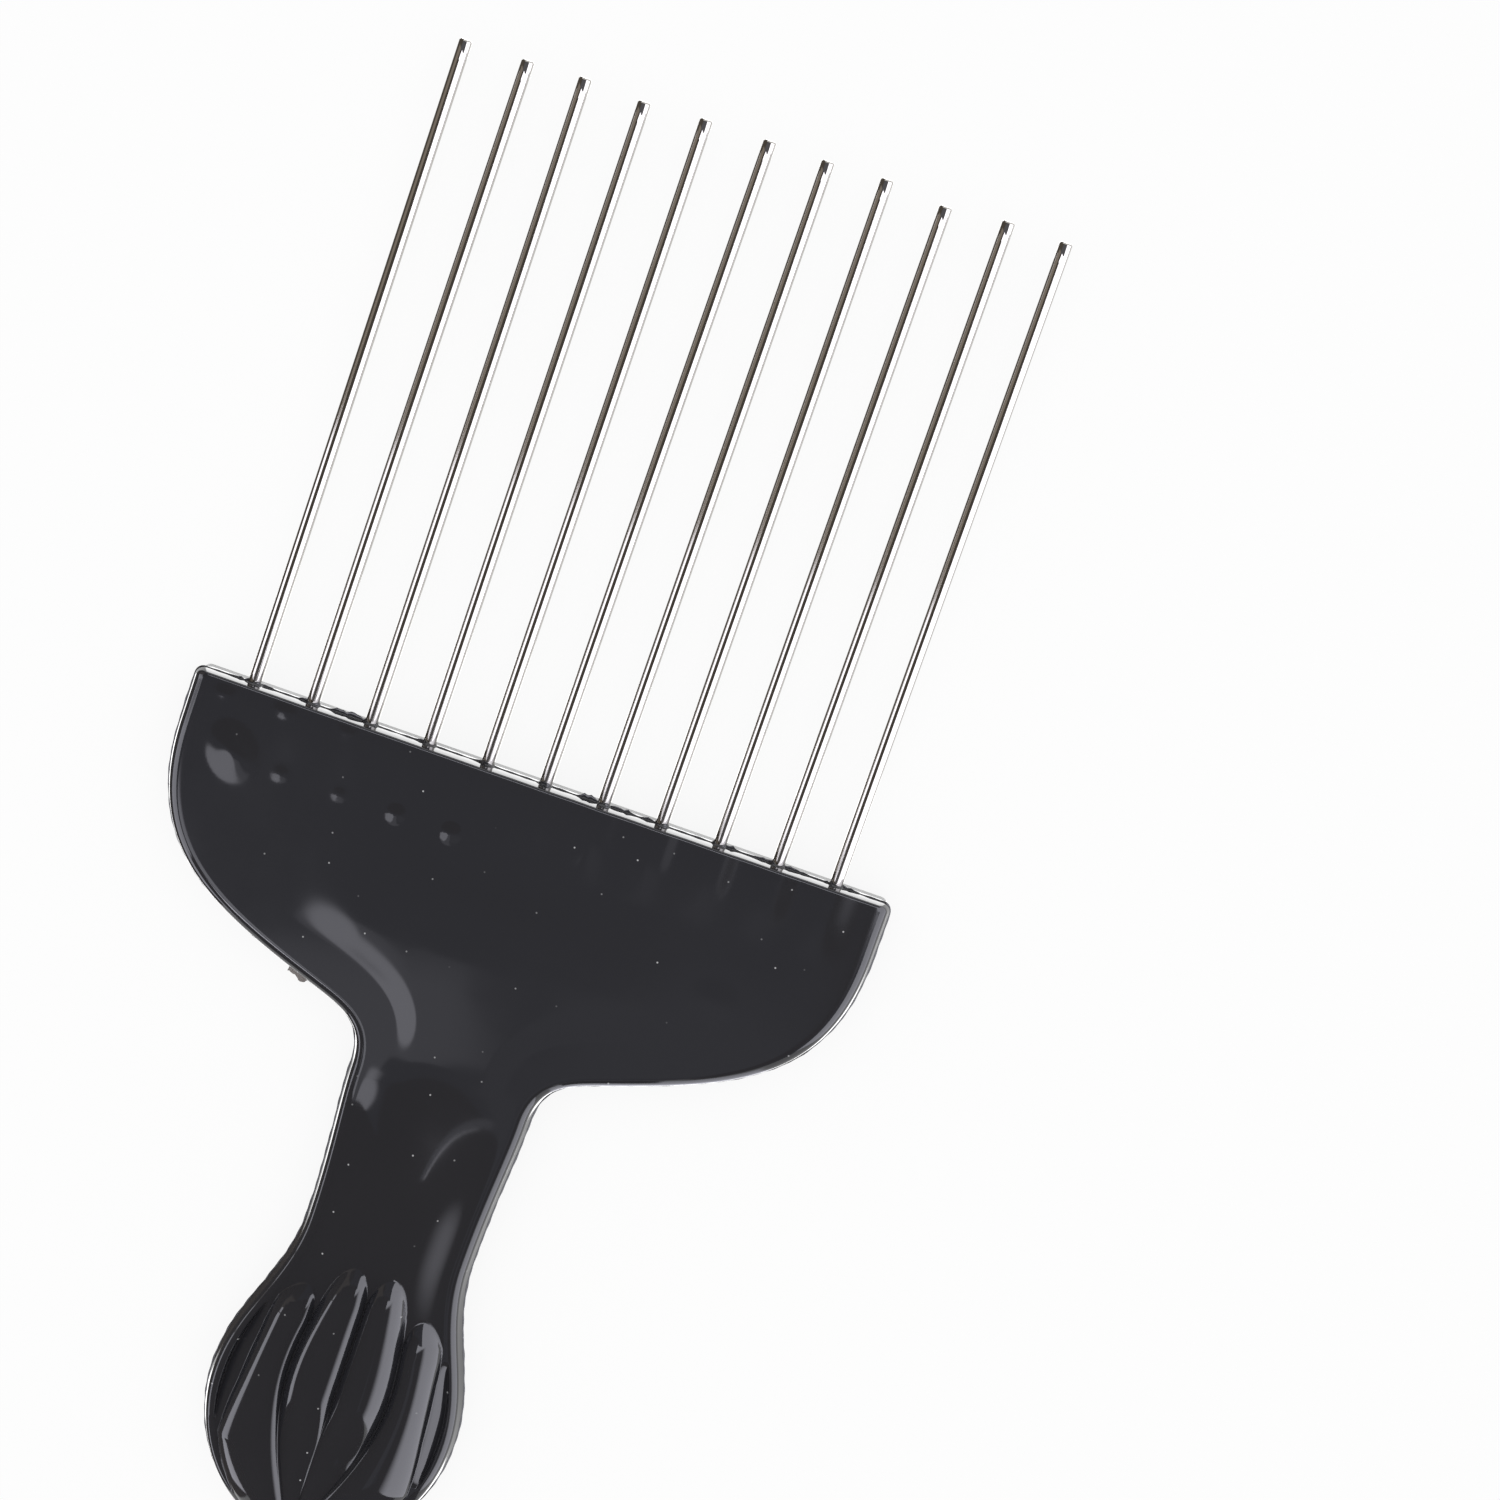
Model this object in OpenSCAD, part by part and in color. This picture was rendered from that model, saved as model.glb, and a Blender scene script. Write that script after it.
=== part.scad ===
// Afro pick: one moulded handle with eleven straight steel wire teeth set into its head.
// Millimetres. The pick lies on its flat back: +X across the head, +Y towards the tooth tips, +Z up.
// The outline is drawn for the right half as [distance from the middle, depth below the top edge].

/* [Head] */
// Width of the head
head_w = 78.9; // [75:0.1:83]
// Radius of the two top corners in plan
corner_r = 1; // [0.7:0.1:2]
// Radius of the face's top corners, inside the rounded edge
face_corner_r = 0.3; // [0.2:0.05:0.6]
// Depth at which the straight sides end
side_depth = 6; // [4:0.5:9]
// Pull of the curve below the straight side
side_pull = 15.4; // [12:0.1:17]
// Distance from the middle where the shoulder turns into the neck
shoulder_x = 16.4; // [15:0.1:18]
// Depth of that turning point
shoulder_depth = 29.4; // [28:0.1:31]
// Slope of the shoulder at the turning point, in degrees
shoulder_angle = 19.5; // [15:0.5:24]
// Pull of the shoulder curve towards the head
shoulder_pull = 13.8; // [10:0.1:16]
// Pull of the shoulder curve towards the neck
neck_lead = 3.9; // [2:0.1:4.5]

/* [Grip] */
// Half width of the neck
neck_half = 10.3; // [9.5:0.1:11]
// Depth at which the neck runs straight down
neck_depth = 36; // [35:0.5:38]
// Pull of the neck curve
neck_pull = 4.4; // [2:0.1:5]
// Half width at the narrowest place of the grip
wrist_half = 9.5; // [8.5:0.1:10.5]
// Depth of the narrowest place
wrist_depth = 53.5; // [50:0.5:56]
// Half width at the widest place of the grip
bulb_half = 14.1; // [13:0.1:15.5]
// Depth of the widest place
bulb_depth = 73.7; // [71:0.1:76]
// Pull of the curves at the narrowest and the widest place
bulb_pull = 7.8; // [6:0.1:9]
// Pull of the end curve below the widest place
end_pull = 9; // [7:0.1:10]
// Pull of the end curve across the end
end_width_pull = 7.6; // [6:0.1:9]
// Length of the moulding from the top edge to the end of the grip
body_len = 90; // [88:0.5:94]

/* [Section] */
// Thickness of the head at its edge
plate_t = 5.2; // [4.6:0.1:6]
// Slope of the edge away from the parting line, in degrees
draft = 12; // [2:1:13]
// Rounding of the front edge
front_r = 1.2; // [0.9:0.1:1.5]
// Rounding of the back edge
back_r = 0.9; // [0.6:0.1:1.2]
// Rounding of the front edge along the top, where the wires come out
top_r = 0.3; // [0.2:0.05:0.8]
// Crown of the head's face over its edge
crown_h = 0.3; // [0.2:0.05:0.8]
// Height of the low plateau that runs from the middle of the head into the neck
swell_h = 0.25; // [0.15:0.01:0.6]
// Half width of the plateau where it fades out to the sides
swell_half = 22.5; // [20:0.5:28]
// Depth at which the plateau starts to rise
swell_start = 8; // [6:0.5:12]
// Depth at which the plateau has its full height
swell_full = 21; // [19:0.5:24]
// Width of the plateau's sloping side in the neck
swell_side = 3; // [2.5:0.1:5]
// Half width of the plateau in the neck, at the middle of its sloping side
neck_swell_half = 5.4; // [4:0.1:7]
// Depth at which the plateau's side curves out of the head's middle
flank_start = 18; // [16:0.5:20]
// Depth at which the plateau's side runs straight down the neck
flank_end = 33; // [31:0.5:35]
// Depth at which the plateau starts to fall again
swell_fall = 24; // [22:0.5:28]
// Depth at which the plateau has run out
swell_end = 36.5; // [35:0.5:40]
// Height of the grip's arch below the lobes
arch_h = 2.1; // [1.5:0.1:2.6]
// Depth at which the grip's arch starts to rise
arch_start = 31; // [28:0.5:33]
// Depth at which the arch has its full height
arch_full = 50; // [46:0.5:54]

/* [Lobes] */
// Depth at which the two inner lobes start
inner_start = 56.5; // [55:0.1:58]
// Depth at which the two outer lobes start
outer_start = 60.4; // [58.5:0.1:61]
// Length of the rounded start of a lobe
lobe_round = 4.8; // [3.5:0.1:6]
// Height of the inner lobes over the arch
inner_h = 1.6; // [1:0.1:2.2]
// Height of the outer lobes over the arch
outer_h = 1.7; // [1:0.1:2.2]
// Depth at which the inner lobes start to flatten
inner_fall = 71; // [68:0.5:74]
// Depth at which the inner lobes are nearly flat
inner_flat = 78; // [76:0.5:82]
// Depth at which the lobes start to roll down to the end
roll_depth = 78; // [76:0.5:81]
// Depth at which the side pockets start
pocket_start = 64.3; // [63:0.1:66]
// Depth at which the side pockets end
pocket_end = 79; // [77:0.1:81]
// Sink of the side pockets below the plate
pocket_sink = 0.9; // [0.4:0.1:1.4]

/* [Gate mark] */
// Width of the stub left where the moulding was fed, on the left shoulder
gate_w = 2.4; // [1.5:0.1:3]
// Stand-out of that stub
gate_out = 0.45; // [0.2:0.05:0.8]
// Thickness of that stub
gate_t = 1.4; // [1:0.1:2]
// Root of the stub inside the moulding
gate_root = 0.8; // [0.5:0.1:1.5]

/* [Teeth] */
// Distance from the head's end to the axis of the outermost tooth
end_margin = 6.45; // [5.5:0.05:7.5]
// Diameter of the wire
wire_d = 1.4; // [1.1:0.05:1.6]
// Bare length of a tooth above the top edge
tooth_out = 72.4; // [68:0.1:76]
// Difference of each tooth's bare length, from left to right
tooth_steps = [-0.4, -0.3, -0.05, -0.35, 0.05, 0.15, 0.15, 0.4, -0.25, 0.45, 0.35];
// Break of the tip's edge
tip_break = 0.15; // [0.05:0.05:0.3]
// Length of wire inside the moulding
embed_len = 11; // [10:0.5:14]
// Length of the full wire below the anchor groove
stub_len = 2.5; // [2:0.1:3]
// Length of the anchor groove
groove_len = 1.2; // [0.8:0.1:1.6]
// Diameter of the wire in the anchor groove
groove_d = 1; // [0.8:0.05:1]
// Clearance between the wire and the plastic moulded round it
fit_gap = 0.01; // [0.01:0.005:0.02]

/* [Hidden] */
tooth_n = len(tooth_steps);
half_w = head_w / 2;
tooth_high = max(tooth_steps);
// the teeth share out the top edge evenly
pitch = (head_w - 2 * end_margin) / (tooth_n - 1);
// the wires lie in the middle of the plate's thickness, where the two halves of the moulding part
axis_h = plate_t / 2;
// how far the face and the back stand in from the parting line
front_wall = (plate_t - axis_h - front_r * (1 - sin(draft))) * tan(draft);
front_in = front_wall + front_r * cos(draft);
back_wall = (axis_h - back_r * (1 - sin(draft))) * tan(draft);
back_in = back_wall + back_r * cos(draft);
// the box of the whole pick is centred in Y
shift_y = (body_len - tooth_out - tooth_high) / 2;
// overshoot of the bores above the top edge
cut_over = 1;
round_n = 48;

// where the lines of the face end on the middle line
spine_top = 5;
spine_margin = 4;
spine_end = body_len - spine_margin;

// shares and counts of the face grid
top_steps = 9;
corner_steps = 4;
side_steps = 2;
shoulder_steps = 14;
neck_steps = 7;
wrist_steps = 7;
bulb_steps = 13;
end_steps = 14;
round_shares = [0, 0.3, 0.65, 1];
back_shares = [1, 0.5, 0];
ledge_shares = [0.1, 0.26, 0.6, 0.93];
lobe_shares = [0.06, 0.22, 0.5, 0.78, 0.94];
// the outer crease as a share of the flat width: closest in at one depth, further out above and below
outer_depth = 71.5;
outer_share = 0.845;
outer_gain_share = 0.1;
outer_reach = 7.8;
// the inner crease as a share of the flat width: it closes towards the end
inner_share = 0.5;
inner_loss_share = 0.22;
inner_reach = 20;
inner_from = 62;
inner_power = 2.2;
inner_least_share = 0.06;
outer_most_share = 0.97;
// how softly the arch runs out to its sides
arch_power = 1.5;
// what is left of the inner lobes' height where they are flattened
inner_low_share = 0.25;
// how full a lobe is across: 0.5 is an ellipse, more is slimmer with softer creases, as at its rounded start
lobe_power = 0.65;
start_power = 0.6;
// where across its width a side pocket is deepest, and how its floor steepens towards there
pocket_deep_share = 0.88;
pocket_power = 1.15;
// place of the gate's stub along the shoulder curve
gate_share = 0.94;
// the plateau's side sweeps out to the shoulder with this reach, the steeper the higher the power
flank_spread = 25.3;
flank_power = 2.86;
// towards the shoulder the sloping side widens by this share, the faster the higher the power
side_spread_share = 4;
side_power = 5;
// how far in from its half width the plateau takes to rise
swell_fade = 9;
// how much sharper the edges are along the top than round the rest
top_share = top_r / front_r;

function mix(a, b, t) = a + (b - a) * t;
function unit01(v) = min(1, max(0, v));
function ease(v) = v * v * (3 - 2 * v);
function bezier(a, b, c, d, t) =
  a * pow(1 - t, 3) + b * 3 * t * pow(1 - t, 2) + c * 3 * t * t * (1 - t) + d * pow(t, 3);

// right half of the outline
shoulder_dir = [-cos(shoulder_angle), sin(shoulder_angle)];
turn = [shoulder_x, shoulder_depth];
half_line = concat(
  [for (k = [0:top_steps - 1]) [(half_w - corner_r) * k / top_steps, 0]],
  [for (k = [0:corner_steps - 1]) let (a = 90 * k / corner_steps)
    [half_w - corner_r + corner_r * sin(a), corner_r - corner_r * cos(a)]],
  [for (k = [0:side_steps - 1]) [half_w, mix(corner_r, side_depth, k / side_steps)]],
  [for (k = [0:shoulder_steps - 1]) bezier([half_w, side_depth], [half_w, side_depth + side_pull],
    turn - shoulder_dir * shoulder_pull, turn, k / shoulder_steps)],
  [for (k = [0:neck_steps - 1]) bezier(turn, turn + shoulder_dir * neck_lead,
    [neck_half, neck_depth - neck_pull], [neck_half, neck_depth], k / neck_steps)],
  [for (k = [0:wrist_steps - 1]) bezier([neck_half, neck_depth], [neck_half, neck_depth + neck_pull],
    [wrist_half, wrist_depth - bulb_pull], [wrist_half, wrist_depth], k / wrist_steps)],
  [for (k = [0:bulb_steps - 1]) bezier([wrist_half, wrist_depth], [wrist_half, wrist_depth + bulb_pull],
    [bulb_half, bulb_depth - bulb_pull], [bulb_half, bulb_depth], k / bulb_steps)],
  [for (k = [0:end_steps]) bezier([bulb_half, bulb_depth], [bulb_half, bulb_depth + end_pull],
    [end_width_pull, body_len], [0, body_len], k / end_steps)]);
half_n = len(half_line) - 1;
head_n = top_steps + corner_steps + side_steps + shoulder_steps + neck_steps;
bulb_n = half_n - end_steps;

// outward direction at each point of the half outline
function edge_dir(k) = let (v = half_line[k + 1] - half_line[k]) v / norm(v);
function out_dir(k) = (k == 0) ? [0, -1] : (k == half_n) ? [0, 1] :
  let (v = edge_dir(k - 1) + edge_dir(k), u = v / norm(v)) [u[1], -u[0]];
outward = [for (k = [0:half_n]) out_dir(k)];

// where the line from each outline point ends on the middle line
function foot(k) = (k <= head_n) ? mix(spine_top, neck_depth, k / head_n)
  : (k <= bulb_n) ? half_line[k][1] : mix(bulb_depth, spine_end, ease((k - bulb_n) / end_steps));

// half width of the flat face inside the rounded edge, read from the outline at a depth
function flat_half(d, k = head_n) = (k >= half_n) ? 0 :
  (d <= half_line[k + 1][1]) ? mix(half_line[k][0], half_line[k + 1][0],
    unit01((d - half_line[k][1]) / max(half_line[k + 1][1] - half_line[k][1], back_r / round_n))) - front_in
  : flat_half(d, k + 1);
function outer_at(d) = min(outer_most_share, outer_share
  + outer_gain_share * pow((d - outer_depth) / outer_reach, 2));
function inner_at(d) = max(inner_least_share, inner_share
  - inner_loss_share * pow(max(0, d - inner_from) / inner_reach, inner_power));

// height of the front face at a place x from the middle and at depth d; w is the flat half width there
function roll(d) = let (v = unit01((d - roll_depth) / (body_len - front_in - roll_depth))) sqrt(1 - v * v);
// the plateau's side: its distance from the middle, and the way out from it at a place
function flank_half(t) = neck_swell_half + flank_spread * pow(1 - t, flank_power);
function flank_away(x, t) = let (
    lean = flank_spread * flank_power / (flank_end - flank_start) * pow(1 - t, flank_power - 1))
  (x - flank_half(t)) / sqrt(1 + lean * lean);
function flank_fall(x, t) = ease(unit01(flank_away(x, t)
  / (swell_side * (1 + side_spread_share * pow(1 - t, side_power))) + 1 / 2));
function swell(x, d) = swell_h * ease(unit01((d - swell_start) / (swell_full - swell_start)))
  * (1 - ease(unit01((d - swell_fall) / (swell_end - swell_fall))))
  * ease(unit01((swell_half - x) / swell_fade))
  * (1 - flank_fall(x, unit01((d - flank_start) / (flank_end - flank_start))));
function arch(x, d) = (d <= arch_start) ? 0 : let (g = max(d, neck_depth),
    u = unit01(x / max(flat_half(g) * outer_at(g), fit_gap)))
  arch_h * ease(unit01((d - arch_start) / (arch_full - arch_start))) * pow(1 - u * u, arch_power) * roll(d);
function lobe(x, from, to, start, d) = let (u = (2 * x - from - to) / max(to - from, fit_gap),
    v = 1 - unit01((d - start) / lobe_round))
  pow(max(0, 1 - u * u - v * v), lobe_power + start_power * v * v);
function inner_high(d) = inner_h
  * mix(1, inner_low_share, ease(unit01((d - inner_fall) / (inner_flat - inner_fall))));
function lobes(x, d) = (d <= inner_start) ? 0
  : let (w = flat_half(d), a = w * inner_at(d), b = w * outer_at(d))
    roll(d) * ((x < a) ? inner_high(d) * lobe(x, 0, a, inner_start, d)
      : (x < b) ? outer_h * lobe(x, a, b, outer_start, d) : 0);
// a side pocket: its floor falls outwards, then it steps up to the rim
function pocket_fall(u) = (u < pocket_deep_share) ? pow(u / pocket_deep_share, pocket_power)
  : cos(90 * (u - pocket_deep_share) / (1 - pocket_deep_share));
function pocket(x, d) = (d <= pocket_start || d >= pocket_end) ? 0 :
  let (w = flat_half(d), b = w * outer_at(d), u = unit01((x - b) / max(w - b, fit_gap)),
    v = (d - pocket_start) / (pocket_end - pocket_start))
  pocket_sink * sqrt(4 * v * (1 - v)) * pocket_fall(u);
function crown(x, d) = crown_h * (1 - pow(x / half_w, 2)) * (1 - pow(unit01(d / neck_depth), 2));
function face_z(x, d) = plate_t + crown(x, d) + swell(x, d) + arch(x, d) + lobes(x, d) - pocket(x, d);

// shares of the way from the flat edge to the middle line, for the ring lines at a depth
function ring_shares(d) = let (o = outer_at(d), i = inner_at(d)) concat(
  [for (s = ledge_shares) mix(1, o, s)], [for (s = lobe_shares) mix(o, i, s)], [i],
  [for (s = lobe_shares) mix(i, 0, s)]);
ring_n = len(ring_shares(neck_depth));

// the outline set in by s, past a wall that stands in by w: the two top corners go over from their own
// radius to the face's, and the top edge, where the wires come out, has an upright wall and sharper roundings
corner_n = top_steps + corner_steps;
function corner_at(s) = mix(corner_r, face_corner_r, unit01(s / front_in));
function inset(k, s, w) = let (r = corner_at(s), x = half_w - s, d = top_share * max(0, s - w) / cos(draft),
    a = 90 * (k - top_steps) / corner_steps)
  (k < top_steps) ? [(x - r) * k / top_steps, d]
  : (k < corner_n) ? [x - r + r * sin(a), d + r - r * cos(a)]
  : (k < corner_n + side_steps) ? [x, mix(d + r, side_depth, (k - corner_n) / side_steps)]
  : half_line[k] - outward[k] * s;

// the rings of the right half: each entry is one point [x, depth, height]
function at(p, z) = [p[0], p[1], z];
function edge_x(k, p) = (k == 0 || k == half_n) ? [0, p[1]] : p;
// a rounding turns from the drafted wall to the flat while s goes from 0 to 1
function round_in(s, all_in, r) = all_in - r * cos(mix(draft, 90, s));
function round_drop(k, s, r) = r * (1 - sin(mix(draft, 90, s)))
  * mix(top_share, 1, unit01((k - top_steps) / corner_steps));
function back_ring(s) = [for (k = [0:half_n])
  at(edge_x(k, inset(k, round_in(s, back_in, back_r), back_wall)), round_drop(k, s, back_r))];
function parting_ring() = [for (k = [0:half_n]) at(half_line[k], axis_h)];
function round_ring(s) = [for (k = [0:half_n])
  let (p = edge_x(k, inset(k, round_in(s, front_in, front_r), front_wall)))
  at(p, face_z(p[0], p[1]) - round_drop(k, s, front_r))];
function face_ring(j) = [for (k = [0:half_n]) let (q = edge_x(k, inset(k, front_in, front_wall)), f = foot(k),
    s = ring_shares((k <= head_n) ? neck_depth : q[1])[j], p = [q[0] * s, mix(f, q[1], s)])
  at(p, face_z(p[0], p[1]))];
rings = concat([for (s = back_shares) back_ring(s)], [parting_ring()], [for (s = round_shares) round_ring(s)],
  [for (j = [0:ring_n - 1]) face_ring(j)]);
spine = [for (k = [0:half_n]) at([0, foot(k)], face_z(0, foot(k)))];

// both halves as closed rings, clockwise seen from the front
loop_n = 2 * half_n;
function whole(ring) = [for (k = [0:loop_n - 1]) (k <= half_n) ? ring[k]
  : let (p = ring[loop_n - k]) [-p[0], p[1], p[2]]];
function placed(p) = [p[0], shift_y - p[1], p[2]];
back_spine = [for (k = [0:half_n]) at([0, foot(k)], 0)];
handle_points = [for (p = concat([for (r = rings) each whole(r)], spine, back_spine)) placed(p)];
function spine_step(k) = min(half_n - 1, max(1, (k <= half_n) ? k : loop_n - k));
function spine_id(k, from = 0) = len(rings) * loop_n + from + spine_step(k);
back_from = half_n + 1;
last_ring = (len(rings) - 1) * loop_n;
handle_faces = concat(
  [for (k = [0:loop_n - 1]) let (n = (k + 1) % loop_n) [spine_id(n, back_from), n, k]],
  [for (k = [0:loop_n - 1]) let (n = (k + 1) % loop_n) if (spine_step(n) != spine_step(k))
    [spine_id(n, back_from), k, spine_id(k, back_from)]],
  [for (j = [0:len(rings) - 2]) for (k = [0:loop_n - 1])
    let (n = (k + 1) % loop_n, lo = j * loop_n, up = lo + loop_n)
    each [[lo + n, up + n, up + k], [lo + n, up + k, lo + k]]],
  [for (k = [0:loop_n - 1]) let (n = (k + 1) % loop_n) [last_ring + n, spine_id(k), last_ring + k]],
  [for (k = [0:loop_n - 1]) let (n = (k + 1) % loop_n) if (spine_step(n) != spine_step(k))
    [last_ring + n, spine_id(n), spine_id(k)]]);

function tooth_x(i) = (i - (tooth_n + 1) / 2) * pitch;

module along_y(i) {
  translate([tooth_x(i), shift_y, axis_h]) rotate([-90, 0, 0]) children();
}

// the hole that the plastic leaves round one wire, with the rib that fills the wire's groove
module bore(i) {
  along_y(i) {
    translate([0, 0, -embed_len - fit_gap])
      cylinder(h = stub_len + 2 * fit_gap, d = wire_d + 2 * fit_gap, $fn = round_n);
    translate([0, 0, -embed_len])
      cylinder(h = stub_len + groove_len, d = groove_d + 2 * fit_gap, $fn = round_n);
    translate([0, 0, stub_len + groove_len - embed_len - fit_gap])
      cylinder(h = embed_len - stub_len - groove_len + fit_gap + cut_over, d = wire_d + 2 * fit_gap,
        $fn = round_n);
  }
}

module gate_mark() {
  p = bezier([half_w, side_depth], [half_w, side_depth + side_pull],
    turn - shoulder_dir * shoulder_pull, turn, gate_share);
  translate([-p[0], shift_y - p[1], axis_h]) rotate([0, 0, -shoulder_angle])
    translate([-gate_w / 2, -gate_out, -gate_t / 2]) cube([gate_w, gate_out + gate_root, gate_t]);
}

module tooth(i) {
  length = tooth_out + tooth_steps[i - 1];
  color([0.74, 0.75, 0.77]) along_y(i) {
    translate([0, 0, -embed_len]) cylinder(h = stub_len, d = wire_d, $fn = round_n);
    translate([0, 0, stub_len - embed_len]) cylinder(h = groove_len, d = groove_d, $fn = round_n);
    translate([0, 0, stub_len + groove_len - embed_len])
      cylinder(h = embed_len - stub_len - groove_len + length - tip_break, d = wire_d, $fn = round_n);
    translate([0, 0, length - tip_break])
      cylinder(h = tip_break, d1 = wire_d, d2 = wire_d - 2 * tip_break, $fn = round_n);
  }
}

// one moulding: head, neck and grip in a single shot
module handle() {
  color([0.06, 0.06, 0.065]) difference() {
    union() {
      polyhedron(points = handle_points, faces = handle_faces, convexity = 8);
      gate_mark();
    }
    for (i = [1:tooth_n]) bore(i);
  }
}

module tooth_01() { tooth(1); }
module tooth_02() { tooth(2); }
module tooth_03() { tooth(3); }
module tooth_04() { tooth(4); }
module tooth_05() { tooth(5); }
module tooth_06() { tooth(6); }
module tooth_07() { tooth(7); }
module tooth_08() { tooth(8); }
module tooth_09() { tooth(9); }
module tooth_10() { tooth(10); }
module tooth_11() { tooth(11); }

handle();
tooth_01();
tooth_02();
tooth_03();
tooth_04();
tooth_05();
tooth_06();
tooth_07();
tooth_08();
tooth_09();
tooth_10();
tooth_11();
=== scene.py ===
import math

import bpy
import numpy as np
from mathutils import Matrix


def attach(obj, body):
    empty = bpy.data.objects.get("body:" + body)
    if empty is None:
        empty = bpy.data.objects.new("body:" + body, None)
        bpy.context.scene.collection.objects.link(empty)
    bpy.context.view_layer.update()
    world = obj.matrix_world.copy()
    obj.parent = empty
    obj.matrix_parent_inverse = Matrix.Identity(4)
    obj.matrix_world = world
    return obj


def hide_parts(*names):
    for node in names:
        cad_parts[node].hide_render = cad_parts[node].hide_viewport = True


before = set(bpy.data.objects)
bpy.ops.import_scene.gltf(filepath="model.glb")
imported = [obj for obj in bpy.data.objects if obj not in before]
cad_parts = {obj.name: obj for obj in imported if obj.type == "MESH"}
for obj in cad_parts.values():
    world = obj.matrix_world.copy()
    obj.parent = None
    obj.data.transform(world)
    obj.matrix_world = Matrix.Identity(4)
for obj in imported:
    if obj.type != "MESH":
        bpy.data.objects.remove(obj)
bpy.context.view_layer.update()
mm = 0.001                                       # sizes below are millimetres, Blender's are metres
scene = bpy.context.scene
scene.view_settings.view_transform = "Standard"

# the handle's own sizes; depth is measured down from the head's top edge
handle = {
    # outline of head, shoulder, neck, wrist, bulb and end
    "headHalf": 39.45, "cornerR": 1.0, "faceCornerR": 0.3, "sideDepth": 6.0, "sidePull": 15.4,
    "shoulderX": 16.4, "shoulderDepth": 29.4, "shoulderAngle": 19.5, "shoulderPull": 13.8,
    "neckLead": 3.9, "neckHalf": 10.3, "neckDepth": 36.0, "neckPull": 4.4,
    "wristHalf": 9.5, "wristDepth": 53.5, "bulbHalf": 14.1, "bulbDepth": 73.7, "bulbPull": 7.8,
    "endPull": 9.0, "endWidthPull": 7.6, "length": 90.0,
    # thickness, drafted walls, rounded edges and the head's crown
    "plate": 5.2, "draft": 12.0, "frontR": 1.2, "backR": 0.9, "topR": 0.3, "crown": 0.3,
    # the low plateau in the head, and its flanks that sweep into the neck
    "swell": 0.25, "swellHalf": 22.5, "swellFade": 9.0, "swellStart": 8.0, "swellFull": 21.0,
    "swellFall": 24.0, "swellEnd": 36.5, "swellSide": 3.0, "sideSpread": 4.0, "sidePower": 5.0,
    "neckSwellHalf": 5.4, "flankStart": 18.0, "flankEnd": 33.0, "flankSpread": 25.3, "flankPower": 2.86,
    # the grip's arch, its lobes, and the depth from which it rolls down to its end
    "arch": 2.1, "archPower": 1.5, "archStart": 31.0, "archFull": 50.0,
    "innerStart": 56.5, "outerStart": 60.4, "lobeRound": 4.8, "innerLobe": 1.6, "outerLobe": 1.7,
    "lobePower": 0.65, "startPower": 0.6, "innerFall": 71.0, "innerFlat": 78.0, "innerLow": 0.25,
    "rollDepth": 78.0,
    # the creases between the lobes, as shares of the face's half width
    "outerShare": 0.845, "outerGain": 0.1, "outerDepth": 71.5, "outerReach": 7.8, "mostShare": 0.97,
    "innerShare": 0.5, "innerLoss": 0.22, "innerFrom": 62.0, "innerReach": 20.0, "innerPower": 2.2,
    "leastShare": 0.06,
    # the side pockets
    "pocketStart": 64.3, "pocketEnd": 79.0, "pocketSink": 0.9, "pocketDeep": 0.88, "pocketPower": 1.15,
    # the mesh: lines across the face and the back, points round a corner and down a straight side, rings
    # over the rounded edges, and the points' spacing down each cubic, finer where the lobes start
    "columns": 200, "backColumns": 25, "arcSteps": 6, "straightSteps": 12, "backRings": 6, "frontRings": 11,
    "grains": [0.45, 0.45, 0.45, 0.22, 0.4],
    # where the face's lines follow the creases: which shares of the lines, from what depth, in what length
    "innerLine": 0.4, "outerLine": 0.8, "bendStart": 40.0, "bendLength": 14.0,
}

# the wires; the lists run from the left one to the right one
tooth = {
    "pitch": 6.6, "radius": 0.7, "out": 72.4, "hidden": 3.0, "tipBreak": 0.15,
    "steps": [-0.4, -0.3, -0.05, -0.35, 0.05, 0.15, 0.15, 0.4, -0.25, 0.45, 0.35],      # uneven lengths
    "rootLean": -0.06,                           # the row sits a hair to the left in the mould
    "tipLean": [0.0, 0.21, -0.16, -0.15, -0.06, 0.33, 0.15, 0.0, 0.09, 0.21, 0.0],
    "bow": [0.03, -0.04, 0.05, -0.02, 0.03, -0.06, 0.02, 0.04, -0.03, 0.05, -0.02],
    "sides": 40, "rings": 36,
}

toothCount = len(tooth["steps"])
topY = (handle["length"] - tooth["out"] - max(tooth["steps"])) / 2     # the top edge's place in the frame
partZ = handle["plate"] / 2                      # the parting line, where the wires lie too


# colours
def linear(code):
    # sRGB hex to Blender's linear numbers
    parts = [int(code[i:i + 2], 16) / 255 for i in (1, 3, 5)]
    return tuple(c / 12.92 if c <= 0.04045 else ((c + 0.055) / 1.055) ** 2.4 for c in parts) + (1.0,)


def addNode(tree, kind, settings=(), values=(), links=()):
    # one node with its settings, its socket values and its incoming links
    node = tree.nodes.new(kind)
    for name, value in dict(settings).items():
        setattr(node, name, value)
    for name, value in dict(values).items():
        node.inputs[name].default_value = value
    for name, source in dict(links).items():
        tree.links.new(source, node.inputs[name])
    return node


# camera: the photograph's pose of the pick, undone for a 100 mm lens at 450 mm; turns are in degrees
look = {
    "distance": 450.0, "lens": 100.06, "sensor": 36.0, "roll": 19.407, "lean": 10.326, "turn": 1.045,
    "across": -21.794, "up": -3.277, "near": 10.0, "far": 20000.0,
}


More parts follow.
